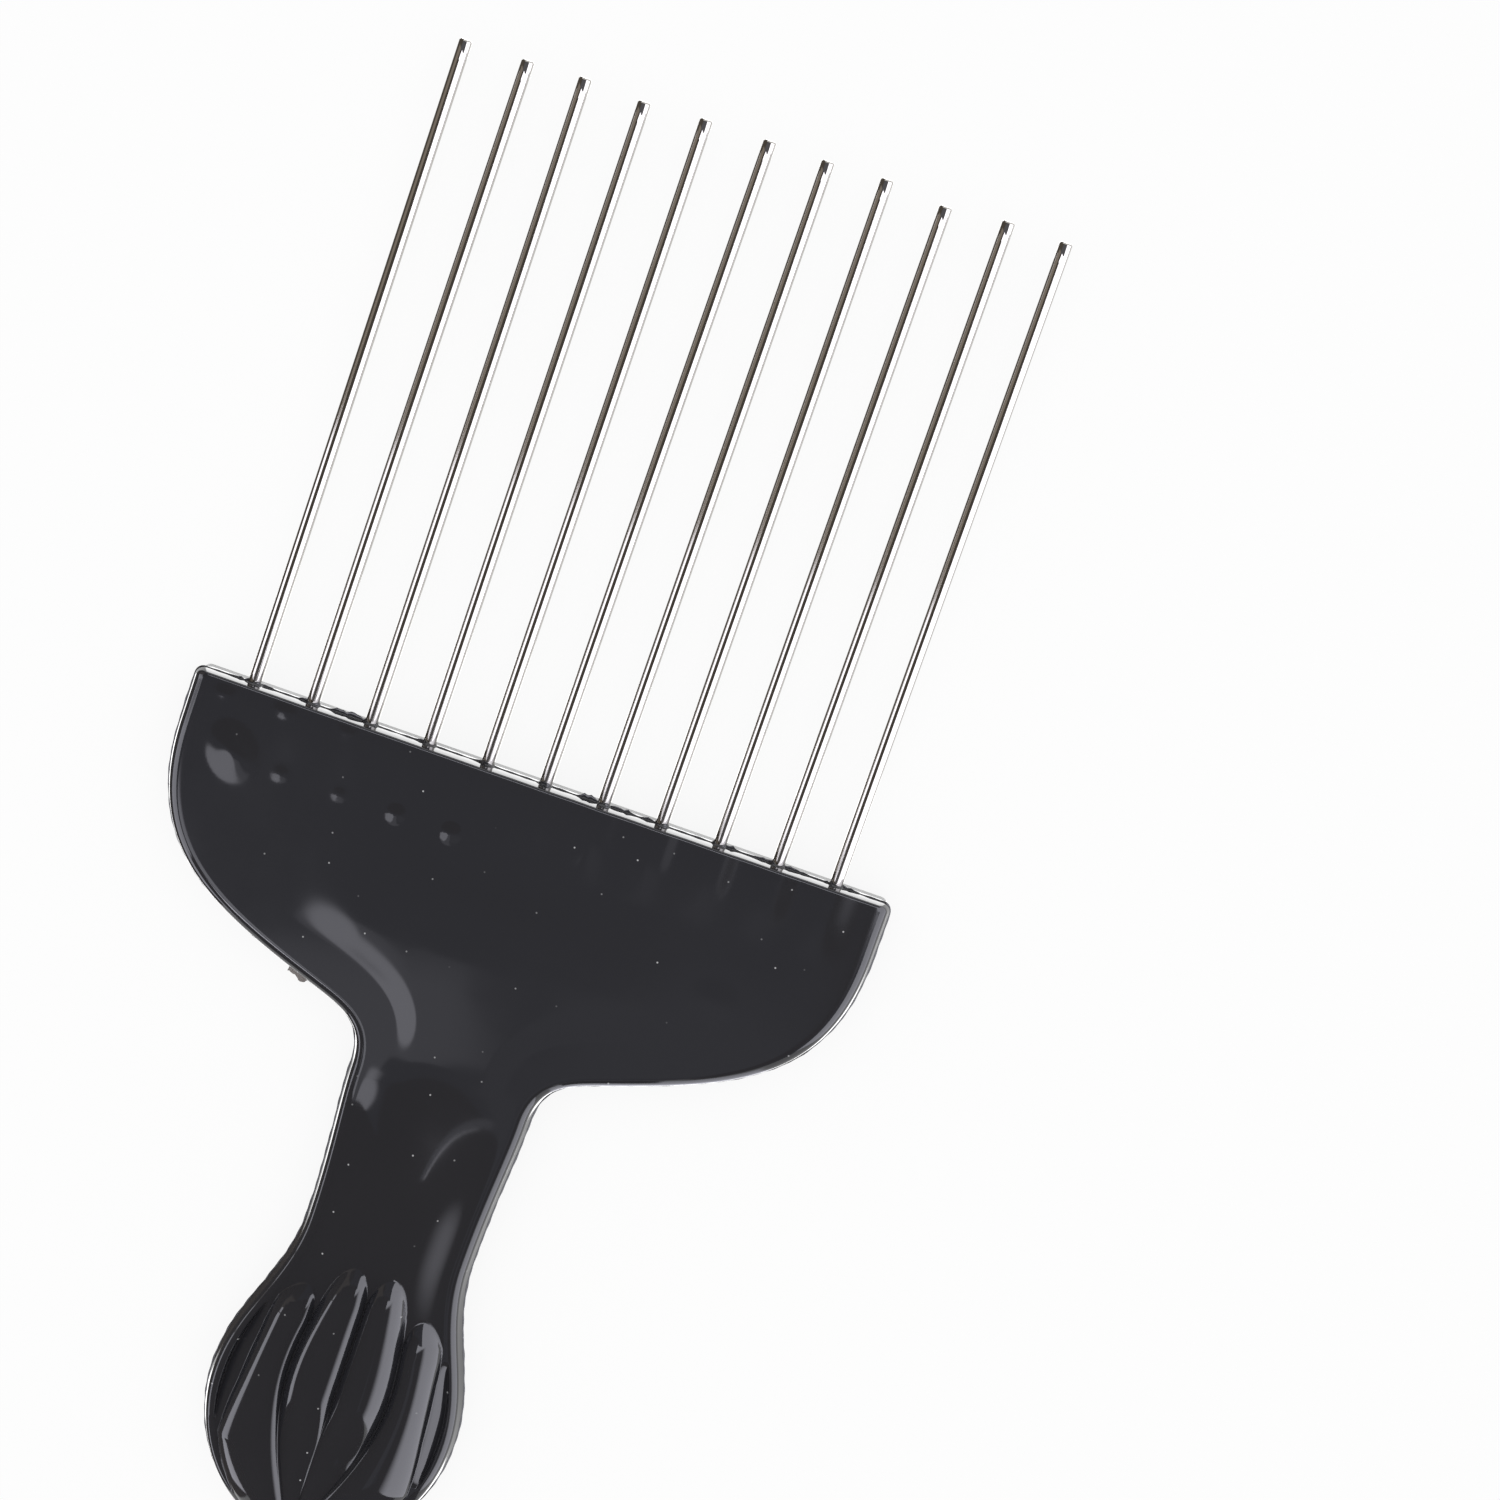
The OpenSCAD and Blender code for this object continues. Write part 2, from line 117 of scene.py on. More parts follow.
def makeCamera():
    # three turns, sideways, lean and roll, bring the pick's frame to the camera's, which takes their inverse
    a, b, t = (math.radians(look[k]) for k in ("roll", "lean", "turn"))
    rollTurn = np.array([[math.cos(a), math.sin(a), 0], [-math.sin(a), math.cos(a), 0], [0, 0, 1]])
    leanTurn = np.array([[1, 0, 0], [0, math.cos(b), -math.sin(b)], [0, math.sin(b), math.cos(b)]])
    sideTurn = np.array([[math.cos(t), 0, math.sin(t)], [0, 1, 0], [-math.sin(t), 0, math.cos(t)]])
    turn = rollTurn @ leanTurn @ sideTurn        # pick's frame to the camera's frame
    place = turn.T @ (np.array([0, 0, look["distance"]]) - np.array([look["across"], look["up"], 0]))
    place = (place + np.array([0, topY, 0])) * mm
    camera = bpy.data.objects.new("camera", bpy.data.cameras.new("camera"))
    scene.collection.objects.link(camera)
    rows = np.eye(4)
    rows[:3, :3] = turn.T
    rows[:3, 3] = place
    camera.matrix_world = Matrix(rows.tolist())
    camera.data.lens = look["lens"]
    camera.data.sensor_width = look["sensor"]
    camera.data.clip_start = look["near"] * mm
    camera.data.clip_end = look["far"] * mm
    scene.camera = camera
    print("camera at", np.round(place, 4))


makeCamera()


# handle: the outline first
def unit01(v):
    return np.clip(v, 0, 1)


def ease(v):
    # a smooth step from 0 to 1: three squares less two cubes
    return v * v * (3 - 2 * v)


def stepped(v, start, end):
    # the same step, taken while v runs from start to end
    return ease(unit01((v - start) / (end - start)))


def mix(a, b, t):
    return a + (b - a) * t


def waves(at, rows):
    # a sum of products of sines: each row is a height, then the rate and the start of each of its sines
    return sum(height * math.prod(np.sin(at * rate + start) for rate, start in sines)
               for height, *sines in rows)


def bezier(a, b, c, d, count=400):
    # a cubic between a and d, pulled to b and c
    t = np.linspace(0, 1, count)[:, None]
    a, b, c, d = (np.array(p, float) for p in (a, b, c, d))
    return a * (1 - t) ** 3 + b * 3 * t * (1 - t) ** 2 + c * 3 * t * t * (1 - t) + d * t ** 3


def shoulderCurve(h):
    # the cubic from the straight side round to the shoulder's end, with that end and the direction there
    angle = math.radians(h["shoulderAngle"])
    way = np.array([-math.cos(angle), math.sin(angle)])
    turn = np.array([h["shoulderX"], h["shoulderDepth"]])
    return bezier((h["headHalf"], h["sideDepth"]), (h["headHalf"], h["sideDepth"] + h["sidePull"]),
                  turn - way * h["shoulderPull"], turn), turn, way


def sideCurves(h):
    # cubics through shoulder, neck, wrist, bulb and end
    shoulder, turn, way = shoulderCurve(h)
    neck = (h["neckHalf"], h["neckDepth"])
    wrist = (h["wristHalf"], h["wristDepth"])
    bulb = (h["bulbHalf"], h["bulbDepth"])
    return [
        shoulder,
        bezier(turn, turn + way * h["neckLead"], (neck[0], neck[1] - h["neckPull"]), neck),
        bezier(neck, (neck[0], neck[1] + h["neckPull"]), (wrist[0], wrist[1] - h["bulbPull"]), wrist),
        bezier(wrist, (wrist[0], wrist[1] + h["bulbPull"]), (bulb[0], bulb[1] - h["bulbPull"]), bulb),
        bezier(bulb, (bulb[0], bulb[1] + h["endPull"]), (h["endWidthPull"], h["length"]), (0, h["length"])),
    ]


def walked(line, step):
    # the line's points again, at an even step along its own length, without the last one
    run = np.concatenate([[0], np.cumsum(np.linalg.norm(np.diff(line, axis=0), axis=1))])
    at = np.linspace(0, run[-1], max(2, int(round(run[-1] / step))) + 1)[:-1]
    return np.stack([np.interp(at, run, line[:, 0]), np.interp(at, run, line[:, 1])], 1)


halfColumns = handle["columns"] // 2
arcSteps = handle["arcSteps"]
straightSteps = handle["straightSteps"]
curves = [walked(line, grain) for line, grain in zip(sideCurves(handle), handle["grains"])]
below = np.vstack(curves + [[[0, handle["length"]]]])    # the outline from the straight side's end down
sideSteps = arcSteps + straightSteps + len(below) - 1
halfCount = halfColumns + sideSteps              # steps round half the outline
neckRow = arcSteps + straightSteps + len(curves[0]) + len(curves[1])     # steps down to the neck

# how far the drafted walls and the rounded edges draw the outline in, in front and behind
draft = math.radians(handle["draft"])
frontWall = (partZ - handle["frontR"] * (1 - math.sin(draft))) * math.tan(draft)
backWall = (partZ - handle["backR"] * (1 - math.sin(draft))) * math.tan(draft)
frontIn = frontWall + handle["frontR"] * math.cos(draft)
backIn = backWall + handle["backR"] * math.cos(draft)
topShare = handle["topR"] / handle["frontR"]     # how much sharper the edge is along the top


def topPart(inward, depth, radius):
    # the top edge, one corner and the straight side, set in from the outline
    h = handle
    x = h["headHalf"] - inward
    arc = np.radians(90 * np.arange(arcSteps) / arcSteps)
    t = np.arange(straightSteps) / straightSteps
    edge = np.linspace(0, x - radius, halfColumns + 1)[:-1]
    return np.vstack([
        np.column_stack([edge, np.full(halfColumns, depth)]),
        np.column_stack([x - radius + radius * np.sin(arc), depth + radius * (1 - np.cos(arc))]),
        np.column_stack([np.full(straightSteps, x), mix(depth + radius, h["sideDepth"], t)]),
    ])


def outwardOf(line):
    # each point's direction away from the moulding, square to its two neighbours
    ahead = np.diff(line, axis=0)
    ahead /= np.linalg.norm(ahead, axis=1)[:, None]
    along = np.vstack([[1, 0], ahead[1:] + ahead[:-1], [-1, 0]])
    along /= np.linalg.norm(along, axis=1)[:, None]
    return np.stack([along[:, 1], -along[:, 0]], 1)


# the right half of the outline at the parting line, and the distance along it
half = np.vstack([topPart(0, 0, handle["cornerR"]), below])
outward = outwardOf(half)
run = np.concatenate([[0], np.cumsum(np.linalg.norm(np.diff(half, axis=0), axis=1))])


def inset(inward, wall):
    # the outline set in square to itself; the top edge's wall stands upright, and its rounding is sharper
    radius = mix(handle["cornerR"], handle["faceCornerR"], min(1, inward / frontIn))
    depth = topShare * max(0, inward - wall) / math.cos(draft)
    top = topPart(inward, depth, radius)
    rest = half[len(top):] - outward[len(top):] * inward
    rest[-1, 0] = 0
    return np.vstack([top, rest])


# handle: the face's height inside the outline, whose depths and half widths are taken from the neck down
gripDepths, gripHalves = half[halfColumns + neckRow:, 1], half[halfColumns + neckRow:, 0]
tiny = 0.01                                      # keeps the widths at the grip's very end off zero


def flatHalf(depth):
    # half width of the face inside the rounded edge, along the grip
    return np.interp(depth, gripDepths, gripHalves) - frontIn


def outerShare(depth):
    # the outer crease's share: least at one depth, and more by the square of the distance from it
    h = handle
    away = (depth - h["outerDepth"]) / h["outerReach"]
    return np.minimum(h["mostShare"], h["outerShare"] + h["outerGain"] * away ** 2)


def innerShare(depth):
    # the inner crease's share: even at first, then less by a power of the way past a depth
    h = handle
    late = np.maximum(0, depth - h["innerFrom"]) / h["innerReach"]
    return np.maximum(h["leastShare"], h["innerShare"] - h["innerLoss"] * late ** h["innerPower"])


# low relief in the face: the plastic stands up a little over each wire and bulges where it shrank unevenly
relief = {
    "ridges": [0.1, 0.4, 0.4, 0.4, 0.4, 0.5, 0.9, 0.85, 0.75, 0.6, 0.5],   # shares of the height
    "ridgeHeight": 0.15, "ridgeEnd": 9.0, "ridgeFade": 6.0,
    # place, depth, half length, half width, height, turn in degrees
    "bulges": [
        (-32.7, 7.4, 4.0, 3.0, 0.22, 46),
        (-27.1, 7.9, 1.3, 1.1, 0.06, 0), (-20.5, 7.9, 1.2, 1.0, 0.055, 0),
        (-14.1, 7.9, 1.4, 1.3, 0.1, 0), (-7.9, 7.9, 1.4, 1.4, 0.115, 0),
        (-35.5, 1.6, 1.2, 0.8, 0.035, 0), (-28.8, 1.3, 1.3, 1.0, 0.05, 0), (-21.8, 1.2, 1.0, 0.7, 0.03, 20),
        (24.5, 16.0, 3.4, 2.9, 0.04, 0),
    ],
}


def bulge(x, depth, place, low, long, wide, height, turn):
    # a mound on a turned ellipse: the square of a cosine that runs out at its border
    a = math.radians(turn)
    p = ((x - place) * math.cos(a) + (depth - low) * math.sin(a)) / long
    q = ((depth - low) * math.cos(a) - (x - place) * math.sin(a)) / wide
    return height * np.cos(unit01(np.hypot(p, q)) * math.pi / 2) ** 2


def reliefHeight(x, depth):
    # the bulges, and a ridge along each wire: a squared cosine across, which a smooth step ends lower down
    r = relief
    z = sum(bulge(x, depth, *b) for b in r["bulges"])
    places = (np.arange(toothCount) - (toothCount - 1) / 2) * tooth["pitch"]
    for at, share in zip(places, r["ridges"]):
        across = np.cos(unit01(np.abs(x - at) / (tooth["pitch"] / 2)) * math.pi / 2) ** 2
        z = z + share * r["ridgeHeight"] * across * ease(unit01((r["ridgeEnd"] - depth) / r["ridgeFade"]))
    return z


def headHeight(x, depth):
    # a crown, which is a parabola across that fades down to the neck, and a low plateau: smooth steps at its
    # start, its end and its sides, whose line runs into the neck by a power of the depth
    h = handle
    crown = h["crown"] * (1 - (x / h["headHalf"]) ** 2) * (1 - unit01(depth / h["neckDepth"]) ** 2)
    span = h["flankEnd"] - h["flankStart"]
    t = unit01((depth - h["flankStart"]) / span)
    flank = h["neckSwellHalf"] + h["flankSpread"] * (1 - t) ** h["flankPower"]
    lean = h["flankSpread"] * h["flankPower"] / span * (1 - t) ** (h["flankPower"] - 1)
    away = (x - flank) / np.sqrt(1 + lean * lean)
    side = unit01(away / (h["swellSide"] * (1 + h["sideSpread"] * (1 - t) ** h["sidePower"])) + 0.5)
    swell = h["swell"] * stepped(depth, h["swellStart"], h["swellFull"]) \
        * (1 - stepped(depth, h["swellFall"], h["swellEnd"])) \
        * ease(unit01((h["swellHalf"] - x) / h["swellFade"])) * (1 - ease(side))
    return crown + swell


def gripHeight(x, depth):
    # an arch, which is a power of one less the square across, and lobes on it: each is a power of one less
    # the squares across and ahead, so that it starts round; all of it rolls down to the end by a quarter of
    # an ellipse
    h = handle
    roll = np.sqrt(1 - unit01((depth - h["rollDepth"]) / (h["length"] - frontIn - h["rollDepth"])) ** 2)
    low = np.maximum(depth, h["neckDepth"])
    u = unit01(x / np.maximum(flatHalf(low) * outerShare(low), tiny))
    arch = h["arch"] * stepped(depth, h["archStart"], h["archFull"]) * (1 - u * u) ** h["archPower"] * roll
    width = np.maximum(flatHalf(depth), tiny)
    inner, outer = width * innerShare(depth), width * outerShare(depth)

    def lobe(left, right, start):
        across = (2 * x - left - right) / np.maximum(right - left, tiny)
        ahead = 1 - unit01((depth - start) / h["lobeRound"])
        return np.maximum(0, 1 - across ** 2 - ahead ** 2) ** (h["lobePower"] + h["startPower"] * ahead ** 2)

    innerLobe = h["innerLobe"] * mix(1, h["innerLow"], stepped(depth, h["innerFall"], h["innerFlat"]))
    lobes = np.where(x < inner, innerLobe * lobe(0, inner, h["innerStart"]),
                     np.where(x < outer, h["outerLobe"] * lobe(inner, outer, h["outerStart"]), 0))
    return arch + np.where(depth > h["innerStart"], lobes, 0) * roll


def pocketDepth(x, depth):
    # half an ellipse down the grip, times a floor that falls from the outer crease by a power and comes up
    # to the rounded edge by a cosine
    h = handle
    width = np.maximum(flatHalf(depth), tiny)
    outer = width * outerShare(depth)
    v = unit01((depth - h["pocketStart"]) / (h["pocketEnd"] - h["pocketStart"]))
    w = unit01((x - outer) / np.maximum(width - outer, tiny))
    sink = np.where(w < h["pocketDeep"], (w / h["pocketDeep"]) ** h["pocketPower"],
                    np.cos(math.pi / 2 * (w - h["pocketDeep"]) / (1 - h["pocketDeep"])))
    return h["pocketSink"] * np.sqrt(4 * v * (1 - v)) * np.where(depth > h["neckDepth"], sink, 0)


def faceHeight(x, depth):
    # plate, head and grip less the pockets, the same on both sides, plus the low relief
    side = np.abs(x)
    level = handle["plate"] + headHeight(side, depth) + gripHeight(side, depth)
    return level - pocketDepth(side, depth) + reliefHeight(x, depth)


# the thin fin of plastic at the parting line, and the ragged flash that it becomes on the wires' edge
flash = {
    "fin": 0.11, "thick": 0.09,
    "foot": 0.15,                                # a ring this far off on each side keeps the walls flat
    # the fin's section, in shares of its reach and its thickness
    "section": [(0, -0.8), (0.8, -0.5), (1, -0.3), (1, 0.3), (0.8, 0.5), (0, 0.8)],
    # rows for waves, by the millimetre along the edge
    "waver": [(0.3, (1 / 0.83, 0), (1 / 2.9, 1)), (0.2, (1 / 0.31, 2))],
    "ragged": [(0.4, (5.3, 0), (1.9, 0.7)), (0.25, (8.9, 1))], "raggedLevel": 0.6, "tearPower": 4,
    "tears": [                                   # place across the head, half width, height
        (-33.0, 1.6, 0.35), (-27.0, 0.8, 0.25), (-22.0, 2.3, 0.6), (-13.8, 0.7, 0.3), (-7.0, 0.6, 0.35),
        (0.0, 0.6, 0.3), (4.8, 0.8, 0.9), (8.5, 1.1, 0.3), (12.0, 1.1, 0.3), (21.0, 0.7, 0.4),
        (26.5, 2.6, 0.4), (33.5, 1.6, 0.35),
    ],
}


def finReach():
    # how far the fin stands out at each point of the whole loop: a thin wavering edge, and along the top
    # edge the tears too, each a flat-topped bell times a ragged wave
    f = flash
    loopRun = np.concatenate([run, -run[1:-1][::-1]])
    x = np.concatenate([half[:, 0], -half[1:-1, 0][::-1]])
    onTop = np.abs(loopRun) < half[halfColumns, 0]
    torn = sum(height * np.exp(-((x - place) / wide) ** f["tearPower"])
               for place, wide, height in f["tears"])
    ragged = f["raggedLevel"] + waves(x, f["ragged"])
    return f["fin"] * (1 + waves(loopRun, f["waver"])) + np.where(onTop, torn * ragged, 0)


def wholeLoop(points):
    # the right half and its mirror image as one closed ring
    return np.vstack([points, points[1:-1][::-1] * np.array([-1, 1, 1])])


def edgeRings():
    # from the back's flat over the back rounding, the drafted walls with the fin between them, and the front
    # rounding: each ring is the outline, set in by the wall's slope or by a circle's cosine
    h, f = handle, flash
    rings = []
    around = np.ones(len(half))
    around[:halfColumns] = topShare
    around[halfColumns:halfColumns + arcSteps] = mix(topShare, 1, np.arange(arcSteps) / arcSteps)
    for a in np.radians(np.linspace(90, h["draft"], h["backRings"])):
        p = inset(backIn - h["backR"] * math.cos(a), backWall)
        rings.append(wholeLoop(np.column_stack([p, h["backR"] * (1 - math.sin(a)) * around])))
    outline = wholeLoop(np.column_stack([half, np.zeros(len(half))]))
    normal = wholeLoop(np.column_stack([outward, np.zeros(len(half))]))
    reach = finReach()[:, None]
    p = inset(f["foot"] * math.tan(draft), backWall)
    rings.append(wholeLoop(np.column_stack([p, np.full(len(p), partZ - f["foot"])])))
    for out, up in f["section"]:
        level = np.array([0, 0, partZ + up * f["thick"]])
        rings.append(outline + normal * reach * out + level)
    p = inset(f["foot"] * math.tan(draft), frontWall)
    rings.append(wholeLoop(np.column_stack([p, np.full(len(p), partZ + f["foot"])])))
    for a in np.radians(np.linspace(h["draft"], 90, h["frontRings"])):
        p = inset(frontIn - h["frontR"] * math.cos(a), frontWall)
        both = wholeLoop(np.column_stack([p, h["frontR"] * (1 - math.sin(a)) * around]))
        both[:, 2] = faceHeight(both[:, 0], both[:, 1]) - both[:, 2]
        rings.append(both)
    return rings


def sheet(flat, columns, ringStart, newStart):
    # rows across the flat from the top edge to the end: numbers of the grid's points, and its inner points
    loop = 2 * halfCount
    rows = np.arange(sideSteps + 1)
    ids = np.zeros((sideSteps + 1, columns + 1), int)
    ids[:, -1] = halfColumns + rows
    ids[:, 0] = loop - halfColumns - rows
    step = 2 * halfColumns // columns
    ids[0] = (np.arange(columns + 1) * step - halfColumns) % loop
    ids[-1] = halfCount
    ids += ringStart
    inside = np.arange((sideSteps - 1) * (columns - 1))
    ids[1:-1, 1:-1] = newStart + inside.reshape(sideSteps - 1, columns - 1)
    ends = flat[halfColumns + 1:halfCount]
    share = np.linspace(-1, 1, columns + 1)[None, 1:-1]
    return ids, ends[:, :1], ends[:, 1:2], share


def gripShares(depth, share):
    # grid lines drawn to the creases in the grip: two fifths of the lines on each lobe and a fifth on the
    # ledge, each stretch in even steps
    h = handle
    inLine, outLine = h["innerLine"], h["outerLine"]
    size = np.abs(share)
    outer, inner = outerShare(depth), innerShare(depth)
    bent = np.where(size > outLine, mix(outer, 1, (size - outLine) / (1 - outLine)),
                    np.where(size > inLine, mix(inner, outer, (size - inLine) / (outLine - inLine)),
                             inner * size / inLine))
    return np.sign(share) * mix(size, bent, ease(unit01((depth - h["bendStart"]) / h["bendLength"])))


def quads(a, b, c, d):
    # four grids of point numbers as a list of faces
    return np.stack([a, b, c, d], -1).reshape(-1, 4).tolist()


def makeHandle():
    # the rings joined round the edge, a fine grid over the face and a coarse one over the back
    rings = edgeRings()
    loop = 2 * halfCount
    i, j = np.meshgrid(np.arange(loop), np.arange(len(rings) - 1))
    n = (i + 1) % loop
    faces = quads(j * loop + i, (j + 1) * loop + i, (j + 1) * loop + n, j * loop + n)
    count = len(rings) * loop
    points = [np.vstack(rings)]
    ids, x, depth, share = sheet(rings[-1], handle["columns"], (len(rings) - 1) * loop, count)
    x = x * gripShares(depth, share)
    depth = depth + 0 * x
    points.append(np.stack([x, depth, faceHeight(x, depth)], -1).reshape(-1, 3))
    faces += quads(ids[1:-1, :-1], ids[1:-1, 1:], ids[:-2, 1:], ids[:-2, :-1])
    faces += np.stack([ids[-1, 1:], ids[-2, 1:], ids[-2, :-1]], -1).tolist()
    count += x.size
    ids, x, depth, share = sheet(rings[0], handle["backColumns"], 0, count)
    x = x * share
    points.append(np.stack([x, depth + 0 * x, 0 * x], -1).reshape(-1, 3))
    faces += quads(ids[1:-2, :-1], ids[1:-2, 1:], ids[2:-1, 1:], ids[2:-1, :-1])
    faces += np.stack([ids[-2, :-1], ids[-2, 1:], ids[-1, 1:]], -1).tolist()
    # under the top edge each cell of the back takes in all the ring's points above it
    step = 2 * halfColumns // handle["backColumns"]
    fine = (np.arange(handle["backColumns"])[:, None] * step + np.arange(step + 1) - halfColumns) % loop
    faces += np.column_stack([fine, ids[1, 1:], ids[1, :-1]]).tolist()
    points = np.vstack(points)
    points[:, 1] = topY - points[:, 1]
    return addMesh("moulding", points, faces)


def addMesh(name, points, faces):
    # a smooth-shaded object from points in millimetres
    mesh = bpy.data.meshes.new(name)
    mesh.from_pydata((points * mm).tolist(), [], faces)
    mesh.polygons.foreach_set("use_smooth", np.ones(len(mesh.polygons), bool))
    mesh.update()
    piece = bpy.data.objects.new(name, mesh)
    scene.collection.objects.link(piece)
    print(name, len(points), "points", len(faces), "faces")
    return piece


moulding = makeHandle()
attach(moulding, "root")
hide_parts("handle")


def skin(rings, closed):
    # the faces that join rings of points in order; an open run gets a cap at each end
    count, sides = rings.shape[:2]
    a, b = np.meshgrid(np.arange(sides), np.arange(count if closed else count - 1))
    n, c = (a + 1) % sides, (b + 1) % count
    faces = quads(b * sides + a, c * sides + a, c * sides + n, b * sides + n)
    if not closed:
        faces += [list(range(sides)), list(range(count * sides - 1, (count - 1) * sides - 1, -1))]
    return rings.reshape(-1, 3), faces


# the stub where the moulding was fed, on the left shoulder
gate = {
    "share": 0.94,                               # its place along the shoulder's cubic
    "width": 2.4, "out": 0.45, "thick": 1.4, "root": 0.8, "sides": 32, "squareness": 6,
    "outShares": [0, 0.5, 0.85, 1],              # steps outward after the root
    "sizeShares": [1.15, 1.05, 0.97, 0.95, 0.86],
    "torn": [(0.12, (3, 1)), (0.08, (7, 0))],    # rows for waves, once round
}


def makeGate():
    # a sheared stub: a superellipse carried out of the left shoulder in shrinking steps, that ends in a
    # torn, uneven face
    g = gate
    curve, _, way = shoulderCurve(handle)
    place = curve[int(g["share"] * (len(curve) - 1))]
    turn = np.linspace(0, 2 * math.pi, g["sides"], endpoint=False)
    square = np.stack([np.cos(turn), np.sin(turn)])
    square /= (np.abs(square) ** g["squareness"]).sum(0) ** (1 / g["squareness"])
    out = np.array([-g["root"]] + [g["out"] * share for share in g["outShares"]])[:, None]
    shrink = np.array(g["sizeShares"])[:, None]
    torn = waves(turn, g["torn"]) * unit01(out / g["out"])
    along = square[0] * g["width"] / 2 * shrink
    x = place[0] - way[0] * along + way[1] * (out + torn)
    depth = place[1] - way[1] * along - way[0] * (out + torn)
    z = square[1] * g["thick"] / 2 * shrink + partZ
    points, faces = skin(np.stack([-x, topY - depth, z], -1), False)
    piece = addMesh("gateStub", points, faces)
    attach(piece, "root")
    return piece


stub = makeGate()


# teeth
def lathe(centre, along, radius, sides, closed):
    # circles round a line that runs in Y
    turn = np.linspace(0, 2 * math.pi, sides, endpoint=False)
    rings = np.stack([centre + radius * np.cos(turn), along + 0 * turn, partZ + radius * np.sin(turn)], -1)
    return skin(rings, closed)


def toothX(i, share):
    # a wire's middle: its place in the row, plus a straight lean from root to tip and half a sine of bow
    t = tooth
    x = (i - (toothCount - 1) / 2) * t["pitch"]
    return x + mix(t["rootLean"], t["tipLean"][i], share) + t["bow"][i] * np.sin(math.pi * share)


def makeTooth(i):
    # circles carried along a line that leans and bows a little; the tip's edge is broken
    t = tooth
    length = t["out"] + t["steps"][i]
    along = np.concatenate([[-t["hidden"]], np.linspace(0, length - t["tipBreak"], t["rings"]), [length]])
    radius = np.full(len(along), t["radius"])
    radius[-1] -= t["tipBreak"]
    x = toothX(i, unit01(along / length))
    points, faces = lathe(x[:, None], topY + along[:, None], radius[:, None], t["sides"], False)
    piece = addMesh(f"wire{i + 1:02d}", points, faces)
    smooth = np.ones(len(faces), bool)
    smooth[-2 - t["sides"]:] = False             # the broken edge and the cut end stay crisp
    piece.data.polygons.foreach_set("use_smooth", smooth)
    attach(piece, "root")
    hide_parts(f"tooth_{i + 1:02d}")
    return piece


wires = [makeTooth(i) for i in range(toothCount)]
print("teeth", len(wires))

# the collar of plastic that creeps up each wire
collar = {
    # radius and height over the top edge, once round the section
    "profile": [(0.5, -0.3), (1.1, -0.3), (1.0, 0.02), (0.86, 0.1), (0.77, 0.22), (0.72, 0.36), (0.5, 0.36)],
    "inner": 0.68,                               # what lies inside this radius stays round
    "waver": [(0.16, 1, 2.1), (0.1, 3, 1.3)],    # height, waves in a turn, and the turn from wire to wire
    "lift": 0.85, "liftWave": (0.35, 2, 0.9),
    "sides": 36,
}


def makeCollars():
    # a small uneven foot of plastic round each wire, no two alike: a profile turned round the wire, its
    # radius and height times sines of the turn
    c = collar
    profile = np.array(c["profile"])
    radii, heights = profile[:, :1], profile[:, 1:]
    turn = np.linspace(0, 2 * math.pi, c["sides"], endpoint=False)
    points, faces = [], []
    for i in range(toothCount):
        uneven = 1 + sum(rise * np.sin(rate * turn + shift * i) for rise, rate, shift in c["waver"])
        rise, rate, shift = c["liftWave"]
        lift = c["lift"] + rise * np.sin(rate * turn + shift * i)
        radius = c["inner"] + (radii - c["inner"]) * np.where(radii > c["inner"], uneven, 1)
        height = heights * np.where(heights > 0, lift, 1)
        centre = np.full((len(profile), 1), toothX(i, 0))
        ring, cells = lathe(centre, topY + height, radius, c["sides"], True)
        faces += [[v + len(ring) * i for v in face] for face in cells]
        points.append(ring)
    return addMesh("collars", np.vstack(points), faces)


collars = makeCollars()
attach(collars, "root")


# materials
def newMaterial(name):
    material = bpy.data.materials.new(name)
    material.use_nodes = True
    tree = material.node_tree
    tree.nodes.clear()
    return material, tree


# scales are in cells a metre; a speck lies in the middle of a cell: its radius, from clear to full, is a
# share of the cell's size, and the cell's own random number says how strong it is
polystyrene = {
    "colour": "#27272b", "dust": "#b8b8ba", "tornColour": "#77706c", "tornRoughness": 0.55, "ior": 1.59,
    "speckScale": 167.0, "speckClear": 0.02, "speckFull": 0.01, "speckFrom": 0.4, "speckTo": 0.9,
    "hazeScale": 90.0, "hazeDetail": 4.0, "hazeFrom": 0.35, "hazeTo": 0.75,
    "glossRoughness": 0.05, "hazeRoughness": 0.1,
}


